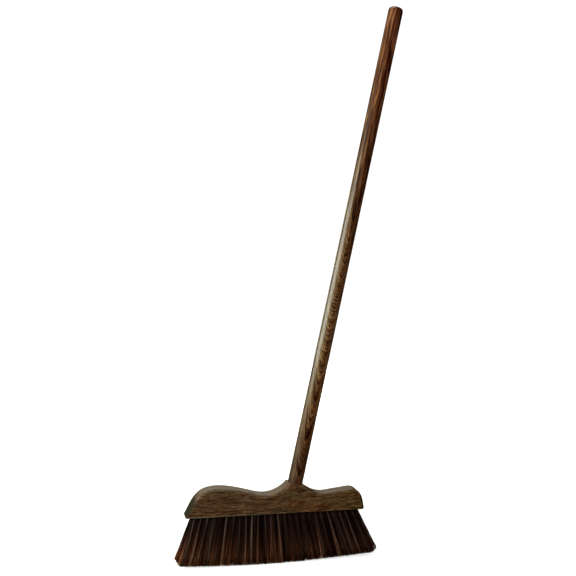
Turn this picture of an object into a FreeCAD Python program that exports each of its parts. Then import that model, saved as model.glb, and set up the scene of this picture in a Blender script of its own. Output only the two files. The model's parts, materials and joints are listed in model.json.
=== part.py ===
"""Hardwood floor broom with a screwed-in handle and a fanned, hand-set bristle field.

Frame, in millimetres: the origin is the middle of the line where the bristle tips meet the
floor, +X runs along the head, +Y runs through its thickness and +Z is up. The handle leans
towards +X in the XZ plane. Distances "along the handle" start where its axis meets the floor.
"""

import FreeCAD, Part
import os
from math import cos, radians, sin

import Sketcher
from FreeCAD import Placement, Rotation, Vector

DIMENSIONS = {
    # handle
    "handle_radius": 13.5,
    "handle_lean": 12.0,
    "handle_foot_x": 6.1,
    "handle_top": 1028.4,
    "handle_top_round": 6.5,
    "handle_end_chamfer": 0.8,
    "tenon_radius": 13.2,
    "tenon_length": 18.5,
    # head block
    "block_base": 87.5,
    "block_thickness": 37.0,
    "block_edge_round": 4.8,
    "block_foot_round": 1.2,
    "block_left_corner_round": 1.3,
    "block_right_corner_round": 4.0,
    "collar_top": 141.3,
    "collar_half_width": 14.3,
    "socket_depth": 18.0,
    "running_gap": 0.06,
    # screwed joint between the handle and the head
    "insert_radius": 6.0,
    "insert_length": 12.0,
    "flange_radius": 9.0,
    "flange_thickness": 1.2,
    "thread_radius": 3.9,
    "thread_length": 11.0,
    "thread_chamfer": 0.7,
    "screw_radius": 3.5,
    "screw_length": 40.0,
    "screw_point": 5.0,
    "washer_radius": 12.3,
    "washer_thickness": 1.5,
    # bristles
    "hole_radius": 2.4,
    "hole_depth": 13.0,
    "root_gap": 0.02,
    "tuft_root_radius": 2.3,
    "tuft_tip_radius": 4.6,
    "tuft_tip_round": 1.6,
    "tuft_face_gap": 0.3,
    "anchor_length": 5.6,
    "anchor_width": 1.8,
    "anchor_thickness": 0.35,
    "anchor_set_back": 1.0,
    "field_left": -150.6,
    "field_right": 149.6,
    "row_pitch": 6.0,
    "lean_left": -16.6,
    "lean_right": 22.4,
    "row_splay": 3.4,
}
ROWS = 5
COLUMNS = 27

# The head's outline, as X and height above its underside. Each stretch is one smooth curve.
LEFT_CURVE = [
    (-167.0, 0.0), (-159.0, 14.3), (-149.4, 30.9), (-136.0, 43.5), (-112.0, 49.7),
    (-86.0, 48.0), (-50.0, 39.5), (-18.0, 34.2), (1.5, 39.2),
]
RIGHT_CURVE = [
    (60.0, 40.3), (74.0, 33.6), (89.5, 31.7), (106.0, 33.6), (128.0, 36.1),
    (146.5, 35.9), (154.8, 29.3), (159.9, 16.3), (163.2, 0.0),
]

doc = FreeCAD.newDocument("floor_broom")


def make_sheet():
    """The driving dimensions, one row each: the name, and the value under that name."""
    sheet = doc.addObject("Spreadsheet::Sheet", "dims")
    for row, (name, value) in enumerate(DIMENSIONS.items(), start=1):
        sheet.set(f"A{row}", name)
        sheet.set(f"B{row}", str(value))
        sheet.setAlias(f"B{row}", name)
    doc.recompute()
    return sheet


sheet = make_sheet()


def size(name):
    """A driving dimension, read from the sheet."""
    return float(sheet.get(name))


def worked_out(expression):
    """The value of an expression over the sheet's names."""
    return float(sheet.evalExpression(expression))


def sheet_names(expression):
    """The expression with each driving dimension written as a reference to the sheet."""
    for name in sorted(DIMENSIONS, key=len, reverse=True):
        expression = expression.replace(f"[{name}]", f"<<dims>>.{name}")
    return expression


def make_body(label):
    body = doc.addObject("PartDesign::Body", label)
    body.Label = label
    return body


def make_sketch(body, plane):
    """A sketch on one of the body's own origin planes."""
    sketch = body.newObject("Sketcher::SketchObject", f"{body.Name}_profile")
    support = [item for item in body.Origin.OriginFeatures if item.Role == plane][0]
    sketch.AttachmentSupport = (support, [""])
    sketch.MapMode = "FlatFace"
    return sketch


def pin_corner(sketch, line, axis, expression):
    """Hold the start of a line at a distance from the origin along one sketch axis."""
    if expression == "0":
        across = {"DistanceX": -2, "DistanceY": -1}[axis]
        sketch.addConstraint(Sketcher.Constraint("PointOnObject", line, 1, across))
        return
    value = worked_out(expression)
    index = sketch.addConstraint(Sketcher.Constraint(axis, -1, 1, line, 1, value))
    sketch.setExpression(f"Constraints[{index}]", expression)


def add_polygon(sketch, corners):
    """A closed polygon whose corners are pairs of expressions over the sheet."""
    corners = [(sheet_names(across), sheet_names(up)) for across, up in corners]
    points = [Vector(worked_out(across), worked_out(up), 0) for across, up in corners]
    count = len(points)
    for i in range(count):
        sketch.addGeometry(Part.LineSegment(points[i], points[(i + 1) % count]))
    for i in range(count):
        sketch.addConstraint(Sketcher.Constraint("Coincident", i, 2, (i + 1) % count, 1))
    for i, (across, up) in enumerate(corners):
        pin_corner(sketch, i, "DistanceX", across)
        pin_corner(sketch, i, "DistanceY", up)


def make_turned(label, corners):
    """A turned piece: a half profile, as radius and height, revolved about its own Z axis."""
    body = make_body(label)
    sketch = make_sketch(body, "XZ_Plane")
    add_polygon(sketch, corners)
    turned = body.newObject("PartDesign::Revolution", f"{label}_turned")
    turned.Profile = sketch
    turned.ReferenceAxis = (sketch, ["V_Axis"])
    turned.Angle = 360
    doc.recompute()
    return body


def put_on_handle_axis(piece, along):
    """Stand a piece on the handle's axis, this far along it from the floor."""
    along = sheet_names(along)
    lean = sheet_names("[handle_lean] * 1deg")
    piece.Placement = Placement(Vector(), Rotation(Vector(0, 1, 0), size("handle_lean")))
    piece.setExpression("Placement.Rotation.Angle", lean)
    foot = sheet_names("[handle_foot_x]")
    piece.setExpression("Placement.Base.x", f"{foot} + ({along}) * sin({lean})")
    piece.setExpression("Placement.Base.z", f"({along}) * cos({lean})")
    doc.recompute()


def middle_of(edge):
    return edge.valueAt((edge.FirstParameter + edge.LastParameter) / 2)


# Stations along the handle's axis, from the floor.
SOCKET_FLOOR = "[collar_top] - [socket_depth]"
HANDLE_SEAT = f"{SOCKET_FLOOR} + [washer_thickness]"


def make_handle():
    """The pole: a slightly slimmer tenon in the socket, a rounded top, and the pilot hole."""
    length = f"[handle_top] - ({HANDLE_SEAT})"
    body = make_turned("handle", [
        ("[screw_radius]", "0"),
        ("[tenon_radius] - [handle_end_chamfer]", "0"),
        ("[tenon_radius]", "[handle_end_chamfer]"),
        ("[tenon_radius]", "[tenon_length]"),
        ("[handle_radius]", "[tenon_length] + [handle_radius] - [tenon_radius]"),
        ("[handle_radius]", length),
        ("0", length),
        ("0", "[screw_length]"),
        ("[screw_radius]", "[screw_length] - [screw_point]"),
    ])
    top = worked_out(sheet_names(length))
    turned = body.Tip
    rounded = body.newObject("PartDesign::Fillet", "handle_rounded")
    rims = [f"Edge{number}" for number, edge in enumerate(turned.Shape.Edges, start=1)
            if abs(middle_of(edge).z - top) < 1e-6 and edge.Length > size("handle_radius")]
    rounded.Base = (turned, rims)
    rounded.setExpression("Radius", sheet_names("[handle_top_round]"))
    doc.recompute()
    put_on_handle_axis(body, HANDLE_SEAT)
    return body


def make_hanger_bolt():
    """The stud: a pointed wood-screw half up in the handle, a machine-thread half below it."""
    below = "-[washer_thickness] - [thread_length]"
    body = make_turned("hanger_bolt", [
        ("0", "[screw_length]"),
        ("0", below),
        ("[thread_radius] - [thread_chamfer]", below),
        ("[thread_radius]", f"{below} + [thread_chamfer]"),
        ("[thread_radius]", "-[running_gap]"),
        ("[screw_radius]", "-[running_gap]"),
        ("[screw_radius]", "[screw_length] - [screw_point]"),
    ])
    put_on_handle_axis(body, HANDLE_SEAT)
    return body


def make_insert():
    """The flanged brass sleeve that takes the bolt, flush with the socket's floor."""
    bore = "[thread_radius] + [running_gap]"
    body = make_turned("threaded_insert", [
        (bore, "-[insert_length]"),
        ("[insert_radius]", "-[insert_length]"),
        ("[insert_radius]", "-[flange_thickness]"),
        ("[flange_radius]", "-[flange_thickness]"),
        ("[flange_radius]", "0"),
        (bore, "0"),
    ])
    put_on_handle_axis(body, SOCKET_FLOOR)
    return body


def make_washer():
    """The loose fibre ring that the handle's end is pulled down onto."""
    bore = "[thread_radius] + [running_gap]"
    body = make_turned("friction_washer", [
        (bore, "0"),
        ("[washer_radius]", "0"),
        ("[washer_radius]", "[washer_thickness]"),
        (bore, "[washer_thickness]"),
    ])
    put_on_handle_axis(body, SOCKET_FLOOR)
    return body


def collar_corners():
    """The two ends of the collar's flat top, square to the handle, in the outline's frame."""
    lean = radians(size("handle_lean"))
    along = Vector(sin(lean), cos(lean), 0)
    across = Vector(cos(lean), -sin(lean), 0)
    middle = Vector(size("handle_foot_x"), -size("block_base"), 0) + along * size("collar_top")
    half = across * size("collar_half_width")
    return middle - half, middle + half


def smooth_curve(points):
    curve = Part.BSplineCurve()
    curve.interpolate(points)
    return curve


def draw_head_outline(sketch):
    """Underside, left lobe and valley, collar top, right valley and lobe."""
    collar_left, collar_right = collar_corners()
    left = [Vector(x, up, 0) for x, up in LEFT_CURVE] + [collar_left]
    right = [collar_right] + [Vector(x, up, 0) for x, up in RIGHT_CURVE]
    sketch.addGeometry(smooth_curve(left))
    sketch.addGeometry(Part.LineSegment(collar_left, collar_right))
    sketch.addGeometry(smooth_curve(right))
    sketch.addGeometry(Part.LineSegment(right[-1], left[0]))


def head_edge_radius(middle):
    """How far an edge of the blank is rounded, from where its middle lies."""
    on_face = abs(abs(middle.y) - size("block_thickness") / 2) < 1e-3
    on_underside = abs(middle.z - size("block_base")) < 1e-3
    if on_face and on_underside:
        return size("block_foot_round")
    if on_face:
        return size("block_edge_round")
    if on_underside:
        return size("block_left_corner_round" if middle.x < 0 else "block_right_corner_round")
    return 0.0


def make_head_blank():
    """The shaped head before drilling, with every outer edge rounded over."""
    body = make_body("head_blank")
    sketch = make_sketch(body, "XZ_Plane")
    draw_head_outline(sketch)
    pad = body.newObject("PartDesign::Pad", "head_pad")
    pad.Profile = sketch
    pad.SideType = "Symmetric"
    pad.setExpression("Length", sheet_names("[block_thickness]"))
    body.setExpression("Placement.Base.z", sheet_names("[block_base]"))
    doc.recompute()
    rounded = doc.addObject("Part::Fillet", "head_rounded")
    rounded.Base = body
    radii = []
    for number, edge in enumerate(body.Shape.Edges, start=1):
        radius = head_edge_radius(middle_of(edge))
        if radius > 0:
            radii.append((number, radius, radius))
    rounded.Edges = radii
    doc.recompute()
    return rounded


def make_drill(label, radius, length, start):
    """A cylinder on the handle's axis that cuts the head."""
    drill = doc.addObject("Part::Cylinder", label)
    drill.setExpression("Radius", sheet_names(radius))
    drill.setExpression("Height", sheet_names(length))
    put_on_handle_axis(drill, start)
    return drill


def make_block(blank, tuft_holes):
    """The head: socket, insert seat and tuft holes cut from the shaped blank."""
    drills = [
        make_drill("socket_drill", "[tenon_radius] + [running_gap]",
                   "[socket_depth] * 2", SOCKET_FLOOR),
        make_drill("flange_drill", "[flange_radius]",
                   "[flange_thickness] * 2", f"{SOCKET_FLOOR} - [flange_thickness]"),
        make_drill("insert_drill", "[insert_radius]",
                   "[insert_length] * 1.5", f"{SOCKET_FLOOR} - [insert_length]"),
    ]
    joint_drills = doc.addObject("Part::MultiFuse", "joint_drills")
    joint_drills.Shapes = drills
    bored = doc.addObject("Part::Cut", "bored_blank")
    bored.Base = blank
    bored.Tool = joint_drills
    block = doc.addObject("Part::Cut", "head_block")
    block.Label = "head_block"
    block.Base = bored
    block.Tool = tuft_holes
    doc.recompute()
    return block


def tuft_frames(row):
    """Where each tuft of a row leaves the underside, with its Z axis pointing up the hole.

    Odd rows have one tuft fewer and sit half a pitch over, so that the field is staggered.
    """
    first, last = size("field_left"), size("field_right")
    pitch = (last - first) / (COLUMNS - 1)
    shift = row % 2
    offset = row - (ROWS - 1) / 2
    frames = []
    for column in range(COLUMNS - shift):
        x = first + pitch * (column + shift / 2)
        part_way = (x - first) / (last - first)
        lean = size("lean_left") + part_way * (size("lean_right") - size("lean_left"))
        turn = Rotation(Vector(1, 0, 0), offset * size("row_splay"))
        turn = turn.multiply(Rotation(Vector(0, 1, 0), -lean))
        foot = Vector(x, offset * size("row_pitch"), size("block_base"))
        frames.append(Placement(foot, turn))
    return frames


def copies(shape, frames, down=0.0):
    """One compound of copies of a shape, one in each frame, moved down by a distance."""
    placed = []
    for frame in frames:
        piece = shape.copy()
        lowered = Placement(frame.Base - Vector(0, 0, down), frame.Rotation)
        piece.Placement = lowered.multiply(shape.Placement)
        placed.append(piece)
    return Part.makeCompound(placed)


def make_group(label, shape):
    """A sub-part made of many equal pieces that each lean their own way."""
    group = doc.addObject("Part::Feature", label)
    group.Label = label
    group.Shape = shape
    return group


def hole_shape():
    """One blind hole, running past the underside so that it cuts through it."""
    start = Vector(0, 0, -size("hole_depth") / 2)
    return Part.makeCylinder(size("hole_radius"), size("hole_depth") * 1.5, start)


def anchor_shape():
    """One flat wire across the hole, near its blind end."""
    length, thickness = size("anchor_length"), size("anchor_thickness")
    top = size("hole_depth") - size("anchor_set_back")
    corner = Vector(-length / 2, -thickness / 2, top - size("anchor_width"))
    return Part.makeBox(length, thickness, size("anchor_width"), corner)


def root_shape():
    """The folded end of a tuft: it fills the hole and wraps round the anchor."""
    radius = size("hole_radius") - size("root_gap")
    length = size("hole_depth") - size("root_gap") - 1.0
    cylinder = Part.makeCylinder(radius, length, Vector(0, 0, 1.0))
    return cylinder.cut(anchor_shape())


def tuft_shape():
    """The free length of a tuft, flaring to a rounded tip, with a ball end on its pivot."""
    root, tip = size("tuft_root_radius"), size("tuft_tip_radius")
    edge = size("tuft_tip_round")
    reach = size("block_base") - root - size("tuft_face_gap")
    ball_top = Vector(0, 0, root)
    ball_side = Vector(root, 0, 0)
    ball_between = Vector(root * cos(radians(45)), 0, root * sin(radians(45)))
    flare_end = Vector(tip, 0, -reach + edge)
    tip_edge = Vector(tip - edge, 0, -reach)
    tip_middle = Vector(0, 0, -reach)
    outline = Part.Wire([
        Part.Arc(ball_top, ball_between, ball_side).toShape(),
        Part.makeLine(ball_side, flare_end),
        Part.makeLine(flare_end, tip_edge),
        Part.makeLine(tip_edge, tip_middle),
        Part.makeLine(tip_middle, ball_top),
    ])
    return Part.Face(outline).revolve(Vector(0, 0, 0), Vector(0, 0, 1), 360)


def make_rows():
    """Per row: the free tufts, their roots in the block and the anchors that hold them."""
    pivot_drop = size("tuft_root_radius") + size("tuft_face_gap")
    rows = []
    for row in range(ROWS):
        frames = tuft_frames(row)
        number = row + 1
        rows.append(make_group(f"tufts_row_{number}", copies(tuft_shape(), frames, pivot_drop)))
        rows.append(make_group(f"tuft_roots_row_{number}", copies(root_shape(), frames)))
        rows.append(make_group(f"anchors_row_{number}", copies(anchor_shape(), frames)))
    return rows


def make_tuft_holes():
    every_frame = [frame for row in range(ROWS) for frame in tuft_frames(row)]
    return make_group("tuft_holes", copies(hole_shape(), every_frame))


def check_document(parts):
    """Stop if any feature failed or any sub-part isn't one or more valid solids."""
    for item in doc.Objects:
        if "Invalid" in item.State or "Error" in item.State:
            raise RuntimeError(f"{item.Label} failed: {item.State}")
    for part in parts:
        if part.Shape.isNull() or not part.Shape.isValid() or not part.Shape.Solids:
            raise RuntimeError(f"{part.Label} has no valid solid")


def export(parts):
    os.makedirs("parts", exist_ok=True)
    for part in parts:
        part.Shape.exportStep(f"parts/{part.Label}.step")
        solids = len(part.Shape.Solids)
        print(f"{part.Label}: {solids} solid(s), {part.Shape.Volume / 1000:.2f} cm3")


def main():
    blank = make_head_blank()
    parts = [
        make_handle(),
        make_hanger_bolt(),
        make_insert(),
        make_washer(),
        make_block(blank, make_tuft_holes()),
    ]
    parts += make_rows()
    doc.recompute()
    check_document(parts)
    export(parts)


main()
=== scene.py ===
"""The looks of a hardwood floor broom: streaked dark wood, hand-set bristles, a soft white studio.

Everything is in metres, in the CAD model's frame: X runs along the head, Y through it and Z up,
with the origin under the head, where the bristle tips meet the floor.
"""

import json
from math import atan2, cos, pi, radians, sin, sqrt

import bmesh
import bpy
import numpy as np
from mathutils import Matrix, Vector


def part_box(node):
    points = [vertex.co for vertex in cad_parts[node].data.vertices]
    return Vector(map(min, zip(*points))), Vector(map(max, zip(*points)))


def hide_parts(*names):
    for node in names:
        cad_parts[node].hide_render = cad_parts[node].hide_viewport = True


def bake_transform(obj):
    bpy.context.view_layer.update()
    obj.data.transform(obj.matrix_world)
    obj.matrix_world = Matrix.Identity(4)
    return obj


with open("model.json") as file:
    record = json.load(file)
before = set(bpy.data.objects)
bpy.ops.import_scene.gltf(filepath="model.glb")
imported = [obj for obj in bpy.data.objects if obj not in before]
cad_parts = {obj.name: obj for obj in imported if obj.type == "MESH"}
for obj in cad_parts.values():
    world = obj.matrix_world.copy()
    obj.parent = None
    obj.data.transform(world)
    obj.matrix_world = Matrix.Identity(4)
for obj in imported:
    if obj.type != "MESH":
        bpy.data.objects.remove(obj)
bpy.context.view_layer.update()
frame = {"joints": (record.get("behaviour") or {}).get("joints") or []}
JOINTS = {joint["name"]: joint for joint in frame["joints"]}
ROWS = [1, 2, 3, 4, 5]
MM = 0.001

# Camera: where it stands, how it is turned and its lens on the default 36 mm sensor.
CAMERA_PLACE = Vector((-0.3332, -1.6141, 0.5619))
CAMERA_YAW = radians(12.35)
CAMERA_PITCH = radians(-2.36)
CAMERA_ROLL = radians(0.335)
CAMERA_LENS = 57.27

# Handle: its axis comes from its turning joint, and the grain's heights are measured from there.
HANDLE_AXIS = Vector(JOINTS["handle_turn"]["axis"])
HANDLE_FOOT = Vector(JOINTS["handle_turn"]["pos_m"])
HANDLE_LEAN = atan2(HANDLE_AXIS.x, HANDLE_AXIS.z)
HANDLE_LENGTH = 0.910
HANDLE_RADIUS = 13.5 * MM
PITH_DISTANCE = 80 * MM
RUN_OUT_DEPTH = 70 * MM

# Bristles: one strand is a thin tube of a few sides, drawn through a few rings from root to tip.
STRANDS_PER_TUFT = 150
STRAND_SIDES = 4
STRAND_RINGS = 6
STRAND_RADIUS = 0.25 * MM
STRAND_TAPER = 0.9
BLOCK_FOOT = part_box("head_block")[0].z

# A tuft: round at its root and nearly square at its tip. Its strands gather in clumps half-way
# down, and they leave the hole in a bell: the power of the drop is between these two for a strand.
TUFT_ROOT_RADIUS = 2.15 * MM
TUFT_TIP_SIZE = (7.0 * MM, 5.0 * MM)
TUFT_SHIFT = 0.3 * MM
ROOT_SINK = 3.0 * MM
TIP_OVERRUN = 4.0 * MM
CLUMPS_PER_TUFT = 15
CLUMP_PLACES = 0.85
CLUMP_PULL = 0.45
STRAND_LOOSE = 0.10
STRAND_SWAY = 0.5 * MM
BELL = (0.55, 1.0)

# The cut of the tips: a shallow bow, lower at the middle than at the ends, with rounded corners.
TRIM_FOOT = 0.5 * MM
LEFT_TRIM_RISE = 5.5 * MM
RIGHT_TRIM_RISE = 8.5 * MM
TRIM_HALF_WIDTH = 185 * MM
TRIM_DEPTH = 50 * MM
TRIM_UNEVEN = 0.45 * MM
LEFT_CORNER_START = 173.5 * MM
RIGHT_CORNER_START = 176 * MM
CORNER_REACH = 12 * MM
CORNER_RISE = 6 * MM

# How light a strand is: a base, and how much tufts, clumps and strands differ from it. A clump's
# turn is how much lighter or darker it gets from root to tip.
TONE = 0.22
# The tip tone lightens each strand towards its tip: partly the strands' own colour, partly painted
# shade near the roots.
TIP_TONE_ROOT_SHADE = 0.07
TUFT_TONE = 0.03
CLUMP_TONE = 0.16
CLUMP_TURN = 0.14
STRAND_TONE = 0.18

# Painted highlight streaks down a tuft, each (strength, wander to either side), and how much each
# row shows.
HIGHLIGHT_STREAKS = [(0.95, 0.45), (0.8, 0.8)]
STREAK_MIDDLE = -0.35
STREAK_WIDTH = 0.45 * MM
TUFT_WIDENING = 1.8
ROW_SHEEN = {1: 1.0, 2: 0.35, 3: 0.15, 4: 0.35, 5: 1.0}

# Painted light: a golden shade on the strands grows towards the head's left end, over this reach.
LEFT_LIGHT_START = -150 * MM
LEFT_LIGHT_REACH = 320 * MM

# Even spreading of points on a disc, and of numbers between 0 and 1
GOLDEN_ANGLE = pi * (3 - sqrt(5))
GOLDEN_RATIO = (1 + sqrt(5)) / 2

# Studio: the floor's glow goes from the first strength to the second between these distances.
FLOOR_GLOW = (0.75, 1.1)
FLOOR_GLOW_REACH = (0.3, 1.6)
FLOOR_RADIUS = 9.0
FLOOR_DROP = -0.2 * MM
SKY_STRENGTH = 1.1
DAYLIGHT = (1.0, 0.98, 0.89)
COOL_LIGHT = (0.95, 1.0, 0.88)
WARM_LIGHT = (1.0, 0.98, 0.80)


# ---------------------------------------------------------------- shader writing


class Shader:
    """A material's node tree, written one node at a time. Each method returns an output socket."""

    def __init__(self, name):
        self.material = bpy.data.materials.new(name)
        self.material.use_nodes = True
        self.tree = self.material.node_tree
        self.tree.nodes.clear()

    def node(self, kind, inputs, output=0, **settings):
        """Adds a node, links or sets its inputs and returns one of its outputs, or none."""
        made = self.tree.nodes.new(kind)
        for key, value in settings.items():
            setattr(made, key, value)
        for key, value in inputs.items():
            if isinstance(value, bpy.types.NodeSocket):
                self.tree.links.new(value, made.inputs[key])
            else:
                made.inputs[key].default_value = value
        return None if output is None else made.outputs[output]

    def math(self, operation, first, second=0.0):
        return self.node("ShaderNodeMath", {0: first, 1: second}, operation=operation)

    def add(self, *values):
        total = values[0]
        for value in values[1:]:
            total = self.math("ADD", total, value)
        return total

    def times(self, first, second):
        return self.math("MULTIPLY", first, second)

    def mix_value(self, factor, first, second):
        """The first value where the factor is 0, the second where it is 1."""
        return self.node("ShaderNodeMix", {0: factor, 2: first, 3: second}, data_type="FLOAT")

    def noise(self, vector, scale, detail):
        """Noise in space, mostly between 0.3 and 0.7."""
        return self.node("ShaderNodeTexNoise", {"Vector": vector, "Scale": scale, "Detail": detail})

    def layers(self, value, thickness, roughness=0.5):
        """Noise along one value, as of wood cut through growth layers this thick."""
        inputs = {"W": value, "Scale": 1 / thickness, "Detail": 1, "Roughness": roughness}
        return self.node("ShaderNodeTexNoise", inputs, noise_dimensions="1D")

    def range(self, value, from_low, from_high, to_low=0.0, to_high=1.0, kind="SMOOTHSTEP"):
        """The value carried from one range to another, smoothly, and held at both ends."""
        inputs = {0: value, 1: from_low, 2: from_high, 3: to_low, 4: to_high}
        return self.node("ShaderNodeMapRange", inputs, interpolation_type=kind)

    def mix(self, factor, first, second, blend="MIX"):
        """Two colours blended. Each is a socket or a (red, green, blue, 1)."""
        inputs = {0: factor, 6: first, 7: second}
        return self.node("ShaderNodeMix", inputs, 2, data_type="RGBA", blend_type=blend)

    def tinted(self, factor, colour, tint):
        """A colour multiplied by a tint, as far as the factor says."""
        return self.mix(factor, colour, self.mix(1.0, colour, tint, "MULTIPLY"))

    def ramp(self, factor, *stops):
        """A colour ramp through (place, red, green, blue) stops."""
        made = self.tree.nodes.new("ShaderNodeValToRGB")
        elements = made.color_ramp.elements
        while len(elements) < len(stops):
            elements.new(0.5)
        for element, (place, *colour) in zip(elements, stops):
            element.position = place
            element.color = (*colour, 1.0)
        self.tree.links.new(factor, made.inputs[0])
        return made.outputs[0]

    def curve(self, value, *points):
        """A smooth curve through (x, y) points, with x from 0 to 1."""
        made = self.tree.nodes.new("ShaderNodeFloatCurve")
        line = made.mapping.curves[0].points
        while len(line) < len(points):
            line.new(0.5, 0.5)
        for knot, place in zip(line, points):
            knot.location = place
        made.mapping.update()
        self.tree.links.new(value, made.inputs["Value"])
        return made.outputs[0]

    def placed(self, location=(0, 0, 0), rotation=(0, 0, 0)):
        """Coordinates in a frame that stands at location and is turned that way."""
        vector = self.node("ShaderNodeTexCoord", {}, "Object")
        inputs = {"Vector": vector, "Location": location, "Rotation": rotation}
        return self.node("ShaderNodeMapping", inputs, vector_type="TEXTURE")

    def parts(self, vector):
        """The x, y and z of a vector."""
        split = self.node("ShaderNodeSeparateXYZ", {0: vector}).node
        return split.outputs[0], split.outputs[1], split.outputs[2]

    def joined(self, x, y, z):
        """A vector of x, y and z."""
        return self.node("ShaderNodeCombineXYZ", {0: x, 1: y, 2: z})

    def attribute(self, name):
        """A number that the mesh carries at its points."""
        return self.node("ShaderNodeAttribute", {}, "Fac", attribute_name=name)

    def bump(self, height, distance):
        """Surface relief: the height, from 0 to 1, times the distance."""
        inputs = {"Strength": 1.0, "Distance": distance, "Height": height}
        return self.node("ShaderNodeBump", inputs)

    def finish(self, inputs):
        """The finished material, with these inputs to its one surface shader."""
        surface = self.node("ShaderNodeBsdfPrincipled", inputs)
        self.node("ShaderNodeOutputMaterial", {"Surface": surface}, output=None)
        return self.material


# ---------------------------------------------------------------- materials


def handle_wood():
    """The pole's wood. Its growth layers slowly run out through the side and draw nested arches.
    Painted light and shade lie across it: lighter on the left, darker on the right.
    """
    s = Shader("handle_wood_dark")
    place = s.placed(HANDLE_FOOT, (0, HANDLE_LEAN, 0))
    x, y, z = s.parts(place)
    rise = s.range(z, 0, HANDLE_LENGTH, kind="LINEAR")
    run_out = s.curve(
        rise,
        (0.000, 0.020),
        (0.100, 0.170),
        (0.242, 0.300),
        (0.484, 0.886),
        (0.725, 0.971),
        (1.000, 0.810),
    )
    wander = s.noise(s.joined(x, y, s.times(z, 0.22)), 90, 2)
    ripple = s.noise(s.joined(x, y, s.times(z, 0.45)), 380, 2)
    behind = s.math("SUBTRACT", PITH_DISTANCE, y)
    from_pith = s.math("SQRT", s.add(s.times(x, x), s.times(behind, behind)))
    depth = s.add(
        from_pith,
        s.times(run_out, RUN_OUT_DEPTH),
        s.times(wander, 2.4 * MM),
        s.times(ripple, 0.9 * MM),
    )
    fine = s.range(s.layers(depth, 0.5 * MM, 0.4), 0.42, 0.58)
    broad = s.range(s.layers(depth, 2.6 * MM), 0.36, 0.64)
    fibre = s.range(s.noise(s.joined(x, y, s.times(z, 0.03)), 1100, 1), 0.38, 0.62)
    strand = s.range(s.noise(s.joined(x, y, s.times(z, 0.06)), 330, 2), 0.38, 0.62)
    patch = s.range(s.noise(s.joined(x, y, s.times(z, 0.2)), 110, 1), 0.35, 0.65)
    upper = s.range(rise, 0.42, 0.66)
    value = s.add(
        s.mix_value(upper, s.times(fine, 0.60), s.times(strand, 0.50)),
        s.times(broad, 0.28),
        s.times(fibre, 0.16),
        s.times(patch, 0.18),
        -0.09,
    )
    colour = s.ramp(
        value,
        (0.10, 0.026, 0.007, 0.003),
        (0.40, 0.095, 0.034, 0.011),
        (0.68, 0.240, 0.125, 0.045),
        (0.98, 0.470, 0.310, 0.145),
    )
    tint = s.ramp(
        rise,
        (0.00, 0.40, 0.33, 0.40),
        (0.16, 1.04, 0.97, 0.93),
        (0.32, 0.94, 0.95, 0.96),
        (0.62, 0.82, 0.75, 0.66),
        (0.80, 0.92, 0.67, 0.60),
        (1.00, 0.82, 0.49, 0.50),
    )
    colour = s.mix(1.0, colour, tint, "MULTIPLY")
    across = s.times(x, 1 / HANDLE_RADIUS)
    # Painted light and shade across the pole: greyer at the very left edge, lighter over the left,
    # darker right of the middle and a little lighter again at the right edge.
    painted_side_light = s.ramp(
        s.range(across, -1, 1, kind="LINEAR"),
        (0.00, 0.70, 0.85, 0.95),
        (0.12, 1.00, 1.12, 1.15),
        (0.38, 1.08, 1.10, 1.05),
        (0.54, 0.96, 0.80, 0.70),
        (1.00, 1.10, 0.92, 0.84),
    )
    colour = s.mix(1.0, colour, painted_side_light, "MULTIPLY")
    # A warmer, lighter tint high on the pole's left side: partly the wood's own tone, partly
    # painted light on the side that faces the window_left lamp.
    warm_tone_and_left_light = s.curve(rise, (0, 0), (0.6, 0), (0.7, 0.4), (0.78, 1), (0.9, 0.9), (1, 0.6))
    warm_tone_and_left_light = s.times(warm_tone_and_left_light, s.range(across, 0.05, -0.45))
    colour = s.tinted(warm_tone_and_left_light, colour, (1.28, 1.24, 1.04, 1))
    # A dark heart runs up the front: where its middle is, how wide it is and how dark, by height.
    middle = s.curve(
        rise, (0, -0.2), (0.12, 0.1), (0.45, 0.25), (0.6, 0.3), (0.72, 0.2), (0.85, 0.05), (1, 0.15)
    )
    width = s.curve(
        rise,
        (0.00, 0.80),
        (0.12, 0.50),
        (0.30, 0.35),
        (0.45, 0.60),
        (0.60, 0.85),
        (0.70, 0.80),
        (0.82, 0.35),
        (0.93, 0.40),
        (1.00, 0.60),
    )
    darkness = s.curve(
        rise,
        (0.00, 0.25),
        (0.05, 0.50),
        (0.12, 0.60),
        (0.28, 0.38),
        (0.40, 0.42),
        (0.55, 0.60),
        (0.65, 0.80),
        (0.73, 0.60),
        (0.82, 0.35),
        (0.92, 0.45),
        (1.00, 0.40),
    )
    ragged = s.noise(s.joined(x, y, s.times(z, 0.13)), 260, 3)
    aside = s.add(s.math("SUBTRACT", across, middle), s.times(ragged, 1.3), -0.65)
    core = s.range(s.math("ABSOLUTE", aside), s.times(width, 1.3), s.times(width, 0.25))
    heart = s.times(s.times(core, darkness), s.range(y, 0, -4 * MM))
    colour = s.tinted(heart, colour, (0.30, 0.15, 0.13, 1))
    return s.finish(
        {
            "Base Color": colour,
            "Roughness": s.add(s.times(value, -0.1), 0.5),
            "Specular IOR Level": 0.25,
            "Coat Weight": 1.0,
            "Coat Roughness": 0.24,
            "Normal": s.bump(fibre, 0.012 * MM),
        }
    )


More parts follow.
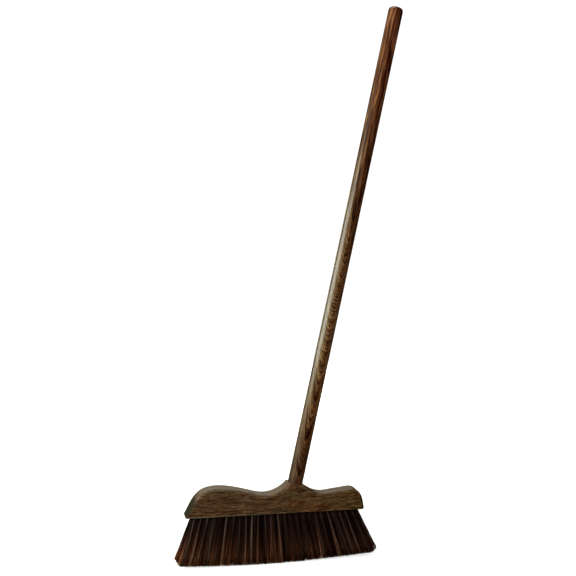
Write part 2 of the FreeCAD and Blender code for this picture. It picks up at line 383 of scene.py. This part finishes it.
def head_wood():
    """The head's wood: wavy streaks, a curled figure under the collar, darker end grain with
    painted shade on the steep ends, and a painted highlight along the foot.
    """
    s = Shader("head_wood_dark")
    x, y, z = s.parts(s.placed())
    wave = s.noise(s.joined(s.times(x, 0.4), y, z), 55, 2)
    curl = s.noise(s.joined(s.times(x, 0.7), y, z), 190, 1)
    beside = s.math("ABSOLUTE", s.math("SUBTRACT", x, 22 * MM))
    curled = s.range(beside, 85 * MM, 20 * MM)
    level = s.add(
        z,
        s.times(y, 0.45),
        s.times(wave, 6 * MM),
        s.times(s.times(curl, curled), 8 * MM),
    )
    fine = s.range(s.layers(level, 0.9 * MM, 0.6), 0.38, 0.62)
    broad = s.range(s.layers(level, 2.6 * MM), 0.36, 0.64)
    streak = s.range(s.noise(s.joined(s.times(x, 0.12), y, level), 620, 2), 0.38, 0.62)
    fibre = s.noise(s.joined(s.times(x, 0.05), y, level), 1300, 2)
    fleck = s.range(s.noise(s.joined(s.times(x, 0.22), y, z), 700, 1), 0.40, 0.62)
    patch = s.range(s.noise(s.joined(s.times(x, 0.35), y, z), 34, 2), 0.38, 0.62)
    value = s.add(
        s.times(fine, 0.24),
        s.times(broad, 0.20),
        s.times(streak, 0.38),
        s.times(fibre, 0.32),
        s.times(fleck, 0.14),
        -0.11,
    )
    colour = s.ramp(
        value,
        (0.12, 0.024, 0.011, 0.005),
        (0.42, 0.074, 0.041, 0.016),
        (0.70, 0.150, 0.094, 0.041),
        (0.95, 0.270, 0.185, 0.095),
    )
    tint = s.ramp(
        s.range(x, -150 * MM, 150 * MM, kind="LINEAR"),
        (0.0, 1.02, 1.22, 1.55),
        (0.5, 1.05, 1.05, 1.12),
        (1.0, 1.04, 0.88, 0.68),
    )
    colour = s.mix(1.0, colour, tint, "MULTIPLY")
    colour = s.tinted(s.times(patch, 0.85), colour, (1.10, 0.74, 0.56, 1))
    pores = s.range(s.noise(s.joined(s.times(x, 0.06), y, level), 2200, 0), 0.62, 0.72)
    colour = s.mix(s.times(pores, 0.55), colour, (0.012, 0.006, 0.003, 1))
    # Painted highlight: a pale band along the rounded foot edge of the block, stronger towards its
    # left end.
    painted_light_and_wear = s.range(z, BLOCK_FOOT + 3.4 * MM, BLOCK_FOOT + 1.2 * MM)
    painted_light_and_wear = s.times(painted_light_and_wear, s.range(x, 60 * MM, -160 * MM, 0.08, 0.75))
    colour = s.mix(painted_light_and_wear, colour, (0.27, 0.205, 0.13, 1))
    # Where the surface faces along the block more than up, the colour turns darker and greyer:
    # partly real end grain, partly painted shade on the steep ends and their rounded edges.
    facing_end, _, facing_up = s.parts(s.node("ShaderNodeTexCoord", {}, "Normal"))
    steepness = s.math("SUBTRACT", s.math("ABSOLUTE", facing_end), facing_up)
    end_grain_and_shade = s.range(steepness, 0.02, 0.28)
    colour = s.tinted(end_grain_and_shade, colour, (0.24, 0.30, 0.28, 1))
    height = s.add(s.times(fine, 0.4), s.times(fibre, 0.7), s.times(pores, -0.8))
    rough = s.add(s.times(value, 0.16), s.times(pores, 0.15), s.times(end_grain_and_shade, 0.25), 0.34)
    return s.finish(
        {
            "Base Color": colour,
            "Roughness": rough,
            "Specular IOR Level": s.add(s.times(streak, 0.26), s.times(end_grain_and_shade, -0.22), 0.32),
            "Normal": s.bump(height, 0.07 * MM),
        }
    )


def bristle():
    """Dark brown bristles, each a little different, lighter and browner towards the worn tips, with
    painted shade near the roots, painted light towards the head's left end and painted highlight
    streaks.
    """
    s = Shader("bristle_dark_brown")
    along = s.attribute("along")
    tone = s.attribute("tone")
    mottle = s.noise(s.joined(s.times(tone, 40), s.times(along, 9), 0), 1, 2)
    value = s.add(tone, s.times(mottle, 0.36), -0.18)
    colour = s.ramp(
        value,
        (0.05, 0.004, 0.0014, 0.0008),
        (0.35, 0.030, 0.0105, 0.0065),
        (0.65, 0.110, 0.049, 0.031),
        (1.00, 0.330, 0.210, 0.140),
    )
    # Darker at the roots and lighter towards the tips: partly the strands' own fading, partly
    # painted shade under the block and between the tufts.
    root_shade_and_tip_fade = s.ramp(s.range(along, 0.25, 1.0), (0, 0.60, 0.50, 0.62), (1, 1.38, 1.08, 0.95))
    colour = s.mix(1.0, colour, root_shade_and_tip_fade, "MULTIPLY")
    # Painted light: strands towards the head's left end turn golden and lighter, as if lit from
    # that side.
    left_light_mask = s.attribute("painted_left_light")
    painted_left_light = s.times(left_light_mask, s.range(along, 0.0, 0.7, 0.25, 0.8))
    colour = s.tinted(painted_left_light, colour, (2.6, 2.7, 1.95, 1))
    # The last tenth of each strand turns paler: partly worn split ends, partly painted light on
    # tips that lie in shade.
    painted_light_and_wear = s.range(along, 0.90, 1.0, 0.0, 0.7)
    colour = s.tinted(painted_light_and_wear, colour, (1.8, 1.9, 1.4, 1))
    # Painted highlight: pale streaks laid over the strands, stronger towards the head's left end.
    highlight_colour = s.ramp(along, (0, 0.38, 0.28, 0.24), (1, 0.45, 0.30, 0.19))
    painted_sheen = s.times(s.attribute("painted_sheen"), s.range(left_light_mask, 0.45, 0.9, 0.75, 1.6))
    colour = s.mix(painted_sheen, colour, highlight_colour)
    rough = s.add(s.times(along, 0.12), s.times(mottle, 0.1), 0.36)
    return s.finish({"Base Color": colour, "Roughness": rough, "Specular IOR Level": 0.12})


def cut_fibre(name, dark, light):
    """Packed bristle ends or pressed fibre: speckled and matt."""
    s = Shader(name)
    place = s.placed()
    speckle = s.range(s.noise(place, 2400, 2), 0.35, 0.65)
    colour = s.mix(speckle, (*dark, 1), (*light, 1))
    return s.finish({"Base Color": colour, "Roughness": 0.8, "Normal": s.bump(speckle, 0.1 * MM)})


def turned_metal(name, dark, light, rough):
    """Turned or drawn metal with fine tool marks and a little tarnish."""
    s = Shader(name)
    x, y, z = s.parts(s.placed(HANDLE_FOOT, (0, HANDLE_LEAN, 0)))
    marks = s.noise(s.joined(s.times(x, 0.02), s.times(y, 0.02), z), 9000, 1)
    tarnish = s.range(s.noise(s.joined(x, y, z), 260, 3), 0.4, 0.7)
    colour = s.mix(tarnish, (*light, 1), (*dark, 1))
    roughness = s.add(s.times(tarnish, 0.2), s.times(marks, 0.15), rough)
    return s.finish(
        {
            "Base Color": colour,
            "Metallic": 1.0,
            "Roughness": roughness,
            "Normal": s.bump(marks, 0.02 * MM),
        }
    )


# ---------------------------------------------------------------- bristles


def tuft_axes(node):
    """The root and tip of each tuft of a CAD row, from the long axis of each of its solids."""
    shape = bmesh.new()
    shape.from_mesh(node.data)
    bmesh.ops.remove_doubles(shape, verts=shape.verts, dist=0.001 * MM)
    waiting = set(shape.verts)
    axes = []
    while waiting:
        island = [waiting.pop()]
        for vertex in island:
            for edge in vertex.link_edges:
                other = edge.other_vert(vertex)
                if other in waiting:
                    waiting.remove(other)
                    island.append(other)
        points = np.array([vertex.co for vertex in island])
        middle = points.mean(axis=0)
        along = np.linalg.svd(points - middle, full_matrices=False)[2][0]
        along = along if along[2] < 0 else -along
        reach = (points - middle) @ along
        axes.append((middle + reach.min() * along, middle + reach.max() * along))
    shape.free()
    return sorted(axes, key=lambda ends: ends[0][0])


def trim_height(x, y):
    """How high above the floor the bristles are cut off: a shallow bow with rounded corners."""
    beyond = np.maximum(-x - LEFT_CORNER_START, x - RIGHT_CORNER_START)
    beyond = np.maximum(beyond, 0) / CORNER_REACH
    left = LEFT_TRIM_RISE * (np.minimum(x, 0) / TRIM_HALF_WIDTH) ** 2 * (0.5 - y / TRIM_DEPTH)
    right = RIGHT_TRIM_RISE * (np.maximum(x, 0) / TRIM_HALF_WIDTH) ** 1.4
    return TRIM_FOOT + left + right + CORNER_RISE * beyond**2


def strand_lines(root, tip, chance):
    """Centre lines of a tuft's strands, one point a ring, with each point's tone and sheen."""
    along = (tip - root) / np.linalg.norm(tip - root)
    across = np.cross((0.0, 1.0, 0.0), along)
    across /= np.linalg.norm(across)
    forward = np.cross(along, across)
    number = np.arange(STRANDS_PER_TUFT)
    out = np.sqrt((number + 0.5) / STRANDS_PER_TUFT)
    turn = number * GOLDEN_ANGLE + chance.uniform(0, 2 * pi)
    spread = np.stack([out * np.cos(turn), out * np.sin(turn)], axis=1)
    squared = spread * (out / np.abs(spread).max(axis=1))[:, None]
    centres = chance.uniform(-CLUMP_PLACES, CLUMP_PLACES, (CLUMPS_PER_TUFT, 2))
    clump = np.linalg.norm(squared[:, None] - centres, axis=2).argmin(axis=1)
    to_clump = centres[clump] - squared
    loose = chance.normal(0, STRAND_LOOSE, spread.shape)
    shift = chance.normal(0, TUFT_SHIFT, 2)
    sway = chance.normal(0, STRAND_SWAY, spread.shape)
    frame_2d = np.stack([across, forward])
    start = root - ROOT_SINK * along + (spread * TUFT_ROOT_RADIUS) @ frame_2d
    end = tip + ((squared + loose) * TUFT_TIP_SIZE + shift) @ frame_2d
    end += along * TIP_OVERRUN
    drop = np.linspace(0, 1, STRAND_RINGS)
    uneven = chance.uniform(-1, 1, STRANDS_PER_TUFT) * TRIM_UNEVEN
    cut = trim_height(end[:, 0], end[:, 1]) + uneven
    reach = (start[:, 2] - cut) / (start[:, 2] - end[:, 2])
    way = (reach[:, None] * drop)[..., None]
    bell = np.interp(number * GOLDEN_RATIO % 1, (0, 1), BELL)[:, None]
    aside = (end - start) - ((end - start) @ along)[:, None] * along
    lines = start[:, None] + way * (end - start)[:, None]
    lines = lines + (drop**bell - drop)[..., None] * aside[:, None]
    gather = (to_clump * CLUMP_PULL * TUFT_TIP_SIZE) @ frame_2d
    pull = 4 * drop * (1 - drop)
    lines = lines + np.sin(pi * drop)[None, :, None] * (sway @ frame_2d)[:, None]
    lines = lines + pull[None, :, None] * gather[:, None]
    return lines, strand_tones(lines, root, across, forward, clump, chance)


def strand_tones(lines, root, across, forward, clump, chance):
    """How light each ring of each strand is, and how much of the tuft's painted highlight falls on
    it.
    """
    strands, rings = lines.shape[:2]
    drop = np.linspace(0, 1, rings)
    widened = 1 + TUFT_WIDENING * drop
    aside = (lines - root) @ across / widened
    outward = np.abs((lines - root) @ forward) / (TUFT_ROOT_RADIUS * widened)
    own = chance.normal(0, STRAND_TONE, (strands, 1))
    own = own + chance.normal(0, CLUMP_TONE, (CLUMPS_PER_TUFT, 1))[clump]
    turning = chance.normal(0, CLUMP_TURN, (CLUMPS_PER_TUFT, 1))[clump] * (2 * drop - 1)
    tone = TONE + chance.normal(0, TUFT_TONE) + own * (0.5 + 0.5 * drop) + turning + TIP_TONE_ROOT_SHADE * drop
    painted_sheen = 0
    for strength, wander in HIGHLIGHT_STREAKS:
        middle = chance.uniform(STREAK_MIDDLE - wander, STREAK_MIDDLE + wander) * TUFT_ROOT_RADIUS
        width = STREAK_WIDTH * chance.uniform(0.6, 1.6) / np.sqrt(widened)
        centre, length = chance.uniform(0.0, 0.9), chance.uniform(0.3, 1.0)
        fading = np.exp(-(((drop - centre) / length) ** 2))
        streak = np.exp(-(((aside - middle) / width) ** 2)) * fading
        painted_sheen = np.maximum(painted_sheen, streak * chance.uniform(0.15, 1) * strength)
    # The painted highlight falls only on the outer strands of a tuft.
    painted_sheen = painted_sheen * np.clip(outward * 2.2 - 0.5, 0, 1) * chance.uniform(0.4, 1, (strands, 1))
    return np.clip(tone, 0, 0.95), painted_sheen


def strand_tubes(lines):
    """Vertices and faces of closed tubes round the centre lines."""
    strands, rings = lines.shape[:2]
    angle = np.arange(STRAND_SIDES) * 2 * pi / STRAND_SIDES
    circle = np.stack([np.cos(angle), np.sin(angle), 0 * angle], axis=1)
    taper = np.linspace(1.0, STRAND_TAPER, rings)[None, :, None, None]
    points = lines[:, :, None] + STRAND_RADIUS * taper * circle
    corner = np.arange(STRAND_SIDES)
    following = (corner + 1) % STRAND_SIDES
    first = (np.arange(strands)[:, None] * rings + np.arange(rings - 1)) * STRAND_SIDES
    first = first.reshape(-1, 1)
    second = first + STRAND_SIDES
    walls = [first + corner, second + corner, second + following, first + following]
    walls = np.stack(walls, axis=2).reshape(-1, 4)
    base = np.arange(strands)[:, None] * rings * STRAND_SIDES
    roots = base + corner
    tips = base + (rings - 1) * STRAND_SIDES + corner[::-1]
    return points.reshape(-1, 3), np.concatenate([walls, roots, tips])


def make_bristle_row(row, material):
    """All the strands of one row as one piece."""
    chance = np.random.default_rng(100 + row)
    lines = []
    tones = []
    painted_sheens = []
    for root, tip in tuft_axes(bpy.data.objects[f"tufts_row_{row}"]):
        tuft, (tone, painted_sheen) = strand_lines(root, tip, chance)
        lines.append(tuft)
        tones.append(tone)
        painted_sheens.append(painted_sheen * ROW_SHEEN[row])
    lines = np.concatenate(lines)
    points, faces = strand_tubes(lines)
    mesh = bpy.data.meshes.new(f"bristles_row_{row}")
    mesh.from_pydata(points, [], faces)
    mesh.polygons.foreach_set("use_smooth", np.ones(len(faces), dtype=bool))
    along = np.tile(np.repeat(np.linspace(0, 1, STRAND_RINGS), STRAND_SIDES), len(lines))
    tone = np.repeat(np.concatenate(tones), STRAND_SIDES)
    painted_sheen = np.repeat(np.concatenate(painted_sheens), STRAND_SIDES)
    # How far each point lies into the painted light at the left end.
    painted_left_light = np.clip((-points[:, 0] - LEFT_LIGHT_START) / LEFT_LIGHT_REACH, 0, 1)
    for name, values in (("along", along), ("tone", tone), ("painted_sheen", painted_sheen), ("painted_left_light", painted_left_light)):
        mesh.attributes.new(name, "FLOAT", "POINT").data.foreach_set("value", values)
    mesh.materials.append(material)
    mesh.update()
    piece = bpy.data.objects.new(f"bristles_row_{row}", mesh)
    bpy.context.scene.collection.objects.link(piece)
    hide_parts(f"tufts_row_{row}", f"tuft_roots_row_{row}")
    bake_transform(piece)


# ---------------------------------------------------------------- studio


def make_camera():
    """The camera, from its place and its turns about the upright, sideways and viewing axes."""
    ahead = Vector(
        (
            sin(CAMERA_YAW) * cos(CAMERA_PITCH),
            cos(CAMERA_YAW) * cos(CAMERA_PITCH),
            sin(CAMERA_PITCH),
        )
    )
    level = Vector((cos(CAMERA_YAW), -sin(CAMERA_YAW), 0))
    above = level.cross(ahead)
    right = cos(CAMERA_ROLL) * level + sin(CAMERA_ROLL) * above
    up = cos(CAMERA_ROLL) * above - sin(CAMERA_ROLL) * level
    camera = bpy.data.objects.new("camera", bpy.data.cameras.new("camera"))
    camera.data.lens = CAMERA_LENS
    turned = Matrix((right, up, -ahead)).transposed().to_4x4()
    camera.matrix_world = Matrix.Translation(CAMERA_PLACE) @ turned
    bpy.context.scene.collection.objects.link(camera)
    bpy.context.scene.camera = camera


def make_light(name, place, target, width, height, power, colour, glossy=True):
    """A soft box that faces its target. The camera doesn't see it, nor does gloss if so asked."""
    light = bpy.data.objects.new(name, bpy.data.lights.new(name, "AREA"))
    light.data.shape = "RECTANGLE"
    light.data.size = width
    light.data.size_y = height
    light.data.energy = power
    light.data.color = colour
    light.location = place
    light.rotation_mode = "QUATERNION"
    light.rotation_quaternion = (Vector(target) - Vector(place)).to_track_quat("-Z", "Y")
    light.visible_camera = False
    light.visible_glossy = glossy
    bpy.context.scene.collection.objects.link(light)


def make_floor():
    """A plain white floor, seen only from above."""
    s = Shader("floor_white")
    paper = s.node("ShaderNodeBsdfDiffuse", {"Color": (0.85, 0.85, 0.85, 1)})
    x, y, _ = s.parts(s.placed())
    away = s.math("SQRT", s.add(s.times(x, x), s.times(y, y)))
    strength = s.range(away, *FLOOR_GLOW_REACH, *FLOOR_GLOW)
    glow = s.node("ShaderNodeEmission", {"Color": (1, 1, 1, 1), "Strength": strength})
    top = s.node("ShaderNodeAddShader", {0: paper, 1: glow})
    clear = s.node("ShaderNodeBsdfTransparent", {})
    below = s.node("ShaderNodeNewGeometry", {}, "Backfacing")
    surface = s.node("ShaderNodeMixShader", {0: below, 1: top, 2: clear})
    s.node("ShaderNodeOutputMaterial", {"Surface": surface}, output=None)
    shape = bmesh.new()
    bmesh.ops.create_circle(shape, cap_ends=True, radius=FLOOR_RADIUS, segments=96)
    mesh = bpy.data.meshes.new("floor")
    shape.to_mesh(mesh)
    shape.free()
    mesh.materials.append(s.material)
    floor = bpy.data.objects.new("floor", mesh)
    floor.location.z = FLOOR_DROP
    floor.visible_diffuse = False
    floor.visible_glossy = False
    bpy.context.scene.collection.objects.link(floor)


def make_studio():
    """White surroundings that only the camera sees, soft boxes, and the floor."""
    world = bpy.data.worlds.new("studio")
    world.use_nodes = True
    background = world.node_tree.nodes["Background"]
    background.inputs["Color"].default_value = (1, 1, 1, 1)
    background.inputs["Strength"].default_value = SKY_STRENGTH
    bpy.context.scene.world = world
    world.cycles_visibility.diffuse = False
    world.cycles_visibility.glossy = False
    bpy.context.scene.view_settings.view_transform = "Standard"
    make_light("window_left", (-1.4, -0.18, 0.86), (0.05, 0, 0.86), 1.6, 0.66, 23, COOL_LIGHT)
    make_light("behind", (0.0, 1.7, 0.75), (0, 0, 0.1), 1.8, 0.6, 5, WARM_LIGHT)
    make_light("overhead", (-0.3, 0.1, 2.3), (0, 0, 0.3), 1.4, 1.4, 10, WARM_LIGHT)
    make_light("fill_front", (-0.9, -2.7, 1.4), (0, 0, 0.4), 1.8, 1.8, 34, DAYLIGHT, glossy=False)
    make_light("fill_right", (1.9, -1.9, 1.2), (0, 0, 0.5), 1.6, 1.6, 15, DAYLIGHT, glossy=False)
    make_light("fill_back", (0.7, 2.7, 0.9), (0, 0, 0.4), 1.8, 1.8, 16, DAYLIGHT, glossy=False)
    make_floor()


def paint(node, material):
    """Gives a carried-over CAD node its material."""
    for place in bpy.data.objects[node].material_slots:
        place.material = material


def main():
    make_camera()
    paint("handle", handle_wood())
    paint("head_block", head_wood())
    steel = turned_metal("steel_zinc_plated", (0.20, 0.19, 0.18), (0.56, 0.56, 0.55), 0.22)
    brass = turned_metal("brass_turned", (0.30, 0.18, 0.07), (0.72, 0.52, 0.22), 0.20)
    wire = turned_metal("anchor_wire", (0.16, 0.15, 0.14), (0.50, 0.50, 0.49), 0.30)
    fibre = cut_fibre("pressed_fibre", (0.10, 0.03, 0.02), (0.22, 0.08, 0.05))
    paint("hanger_bolt", steel)
    paint("threaded_insert", brass)
    paint("friction_washer", fibre)
    strands = bristle()
    for row in ROWS:
        paint(f"anchors_row_{row}", wire)
        make_bristle_row(row, strands)
    make_studio()


main()
